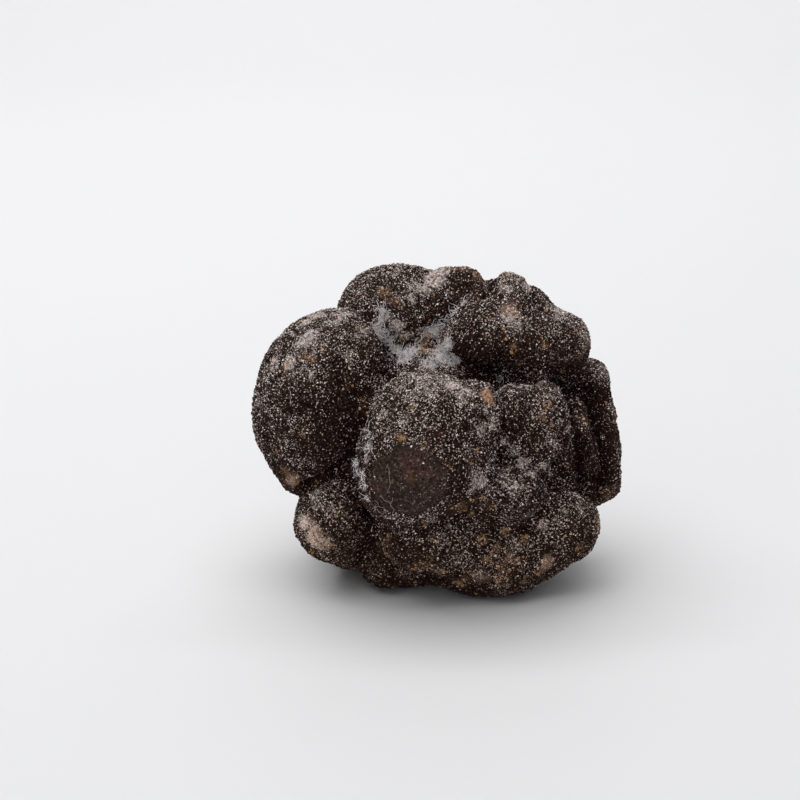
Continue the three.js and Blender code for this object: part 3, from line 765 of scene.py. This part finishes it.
def shaped_wart(name, sides, width, height, seed):
    """A low rough cone, whose tip is marked for the skin's material."""
    bpy.ops.mesh.primitive_cone_add(vertices=sides, radius1=width / 2, depth=height,
                                    end_fill_type="NGON", location=(0, 0, height / 2))
    wart = bpy.context.object
    wart.name = name
    bpy.ops.object.transform_apply(location=True)
    bpy.ops.object.mode_set(mode="EDIT")
    bpy.ops.mesh.select_all(action="SELECT")
    bpy.ops.transform.vertex_random(offset=0.10 * width, uniform=1.0, seed=seed)
    bpy.ops.mesh.quads_convert_to_tris()
    bpy.ops.object.mode_set(mode="OBJECT")
    tip = wart.data.attributes.new("tip", "FLOAT", "POINT")
    tip.data.foreach_set("value", [1.0 if v.co.z > 0.5 * height else 0.0 for v in wart.data.vertices])
    wart.data.materials.append(skin)
    bpy.context.collection.objects.unlink(wart)
    return wart


wart_models = [shaped_wart("wart 1", sides=5, width=1.0, height=0.50, seed=1),
               shaped_wart("wart 2", sides=5, width=0.9, height=0.42, seed=2),
               shaped_wart("wart 3", sides=6, width=1.1, height=0.46, seed=3)]
warts = scatter("warts", seed=11, gap=0.54 * MM, share="warty", models=wart_models,
                sizes=((0.50 * MM, 0.50 * MM, 0.34 * MM), (0.85 * MM, 0.85 * MM, 0.58 * MM)),
                sink=0.06 * MM)
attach(warts, "root")


# Frost. White crumbs of dried mould and fine earth lie all over the skin like coarse salt,
# thickest in the frosted patches. Each is a small rough grain that sits a little in the skin.
DULL_GRAIN = (0.40, 0.28, 0.23, 1)
WHITE_GRAIN = (1.0, 0.94, 0.90, 1)
LOW_WHITE_GRAIN = (1.0, 0.82, 0.68, 1)


def shaped_grain(name, height, seed, material):
    """A rough crumb one unit across, with four faces."""
    bpy.ops.mesh.primitive_cone_add(vertices=3, radius1=0.55, depth=height, end_fill_type="NGON",
                                    location=(0, 0, height / 4))
    grain = bpy.context.object
    grain.name = name
    bpy.ops.object.transform_apply(location=True)
    bpy.ops.object.mode_set(mode="EDIT")
    bpy.ops.mesh.select_all(action="SELECT")
    bpy.ops.transform.vertex_random(offset=0.12, uniform=1.0, seed=seed)
    bpy.ops.object.mode_set(mode="OBJECT")
    grain.data.materials.append(material)
    bpy.context.collection.objects.unlink(grain)
    return grain


frost, tree = new_material("frost")
shader = tree.nodes["Principled BSDF"]
where = add(tree, "ShaderNodeTexCoord").outputs["Object"]
height = add(tree, "ShaderNodeSeparateXYZ", {"Vector": where}).outputs["Z"]
palest = blend(tree, ramp(tree, height, BROWN_BELOW, WHITE_ABOVE), LOW_WHITE_GRAIN, WHITE_GRAIN)
colour = blend(tree, ramp(tree, attribute(tree, "chance"), 0.0, 0.75), DULL_GRAIN, palest)
tree.links.new(colour, shader.inputs["Base Color"])
shader.inputs["Roughness"].default_value = 0.6
frost_models = [shaped_grain("grain 1", height=0.8, seed=1, material=frost),
                shaped_grain("grain 2", height=0.6, seed=2, material=frost)]
frosting = scatter("frost", seed=31, gap=0.34 * MM, share="frosted", models=frost_models,
                   sizes=((0.13 * MM, 0.13 * MM, 0.13 * MM), (0.50 * MM, 0.44 * MM, 0.40 * MM)),
                   sink=-0.03 * MM, tilt=0.8, evenly=False, rarity=4.0)
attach(frosting, "root")


# Mould threads. In the pit between the upper lobes and along some creases the mould stands
# up in fine white threads, bent and tangled like loose cotton.
DULL_THREAD = (0.36, 0.32, 0.30, 1)
WHITE_THREAD = (0.98, 0.95, 0.96, 1)


def shaped_thread(name, bend, lean, material):
    """A thin thread one unit long, bent over to one side."""
    bpy.ops.curve.primitive_bezier_curve_add()
    thread = bpy.context.object
    thread.name = name
    line = thread.data.splines[0]
    start, end = line.bezier_points
    for point in (start, end):
        point.handle_left_type = point.handle_right_type = "FREE"
    start.co, start.handle_right = (0, 0, 0), (0, lean, 0.4)
    start.handle_left = (0, 0, -0.1)
    end.co, end.handle_left = (bend, lean, 0.9 - 0.3 * abs(bend)), (0.2 * bend, 0, 0.75)
    end.handle_right = end.co
    end.radius = 0.4
    thread.data.resolution_u = 4
    thread.data.bevel_depth = 0.032
    thread.data.bevel_resolution = 0
    thread.data.use_fill_caps = True
    bpy.ops.object.convert(target="MESH")
    thread = bpy.context.object
    thread.data.materials.clear()
    thread.data.materials.append(material)
    bpy.context.collection.objects.unlink(thread)
    return thread


mould, tree = new_material("mould")
shader = tree.nodes["Principled BSDF"]
paleness = ramp(tree, attribute(tree, "chance"), 0.0, 0.5)
colour = blend(tree, paleness, DULL_THREAD, WHITE_THREAD)
tree.links.new(colour, shader.inputs["Base Color"])
shader.inputs["Roughness"].default_value = 0.9
thread_models = [shaped_thread("thread 1", bend=0.5, lean=0.1, material=mould),
                 shaped_thread("thread 2", bend=0.9, lean=-0.2, material=mould),
                 shaped_thread("thread 3", bend=-0.3, lean=0.35, material=mould)]
threads = scatter("mould-threads", seed=51, gap=0.13 * MM, share="fluff", models=thread_models,
                  sizes=((0.7 * MM, 0.7 * MM, 0.3 * MM), (1.9 * MM, 1.9 * MM, 1.5 * MM)),
                  sink=0.03 * MM, tilt=1.3)

# A few single threads lie flat across the bald disc. Each is drawn from place to place, in
# millimetres, with a slight wave, laid on the skin and joined to the others.
LAID_THREAD_RADIUS = 0.035 * MM
LAID_THREAD_LIFT = 0.03 * MM
STEPS_BETWEEN_PLACES = 5
WAVE = 0.12 * np.array((1, 0, 0.6))
LAID_THREADS = [
    [(-8.6, -24.7, 26.4), (-8.2, -25.2, 24.6), (-8.4, -25.5, 23.2), (-8.9, -25.3, 22.2)],
    [(-9.9, -24.6, 21.6), (-9.0, -25.0, 21.0), (-8.2, -25.1, 20.6), (-7.8, -24.9, 19.2),
     (-7.9, -24.4, 18.2)],
    [(-8.2, -25.1, 20.6), (-7.7, -25.3, 21.8)],
    [(-10.9, -23.9, 20.6), (-10.0, -24.3, 19.6), (-9.0, -24.5, 18.9)],
]
laid = [threads]
for line in LAID_THREADS:
    bpy.ops.curve.primitive_nurbs_path_add()
    thread = bpy.context.object
    thread.data.splines.clear()
    run = thread.data.splines.new("POLY")
    steps = np.linspace(0, len(line) - 1, STEPS_BETWEEN_PLACES * (len(line) - 1) + 1)
    across = np.stack([np.interp(steps, range(len(line)), values) for values in zip(*line)], axis=1)
    across += np.sin(steps * 5.0)[:, None] * WAVE
    run.points.add(len(steps) - 1)
    for point, place in zip(run.points, across):
        _, spot, up, _ = rind.closest_point_on_mesh(Vector(place) * MM)
        point.co = (*(spot + up * LAID_THREAD_LIFT), 1)
    thread.data.bevel_depth = LAID_THREAD_RADIUS
    thread.data.bevel_resolution = 0
    thread.data.use_fill_caps = True
    bpy.ops.object.select_all(action="DESELECT")
    thread.select_set(True)
    bpy.ops.object.convert(target="MESH")
    bpy.context.object.data.materials.clear()
    bpy.context.object.data.materials.append(mould)
    laid.append(bpy.context.object)
bpy.ops.object.select_all(action="DESELECT")
for thread in laid:
    thread.select_set(True)
bpy.context.view_layer.objects.active = threads
bpy.ops.object.join()
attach(threads, "root")


# Soil crumbs. Small tan and rust-coloured crumbs of the earth that the truffle grew in still
# stick to its skin, in patches.
DARK_CRUMB = (0.14, 0.060, 0.026, 1)
RUSTY_CRUMB = (0.38, 0.195, 0.070, 1)
TAN_CRUMB = (0.56, 0.40, 0.30, 1)


def shaped_crumb(name, squash, seed, material):
    """A rough crumb one unit across, with twenty faces."""
    bpy.ops.mesh.primitive_ico_sphere_add(subdivisions=1, radius=0.5)
    crumb = bpy.context.object
    crumb.name = name
    crumb.scale = (1, 0.8, squash)
    bpy.ops.object.transform_apply(scale=True)
    bpy.ops.object.mode_set(mode="EDIT")
    bpy.ops.mesh.select_all(action="SELECT")
    bpy.ops.transform.vertex_random(offset=0.10, uniform=1.0, seed=seed)
    bpy.ops.object.mode_set(mode="OBJECT")
    crumb.data.materials.append(material)
    bpy.context.collection.objects.unlink(crumb)
    return crumb


soil_crumb, tree = new_material("soil")
shader = tree.nodes["Principled BSDF"]
chance = attribute(tree, "chance")
colour = blend(tree, ramp(tree, chance, 0.0, 0.5), DARK_CRUMB, RUSTY_CRUMB)
colour = blend(tree, ramp(tree, chance, 0.60, 1.0), colour, TAN_CRUMB)
where = add(tree, "ShaderNodeTexCoord").outputs["Object"]
frosty = times(tree, specks(tree, where, 0.35, 0.22 * MM), 0.6)
colour = blend(tree, frosty, colour, FROST)
tree.links.new(colour, shader.inputs["Base Color"])
shader.inputs["Roughness"].default_value = 0.85
crumb_models = [shaped_crumb("crumb 1", squash=0.7, seed=5, material=soil_crumb),
                shaped_crumb("crumb 2", squash=0.9, seed=6, material=soil_crumb)]
crumbs = scatter("soil-crumbs", seed=71, gap=0.50 * MM, share="soil", models=crumb_models,
                 sizes=((0.18 * MM, 0.18 * MM, 0.18 * MM), (0.80 * MM, 0.74 * MM, 0.60 * MM)),
                 sink=0.0, evenly=False, rarity=2.4)
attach(crumbs, "root")
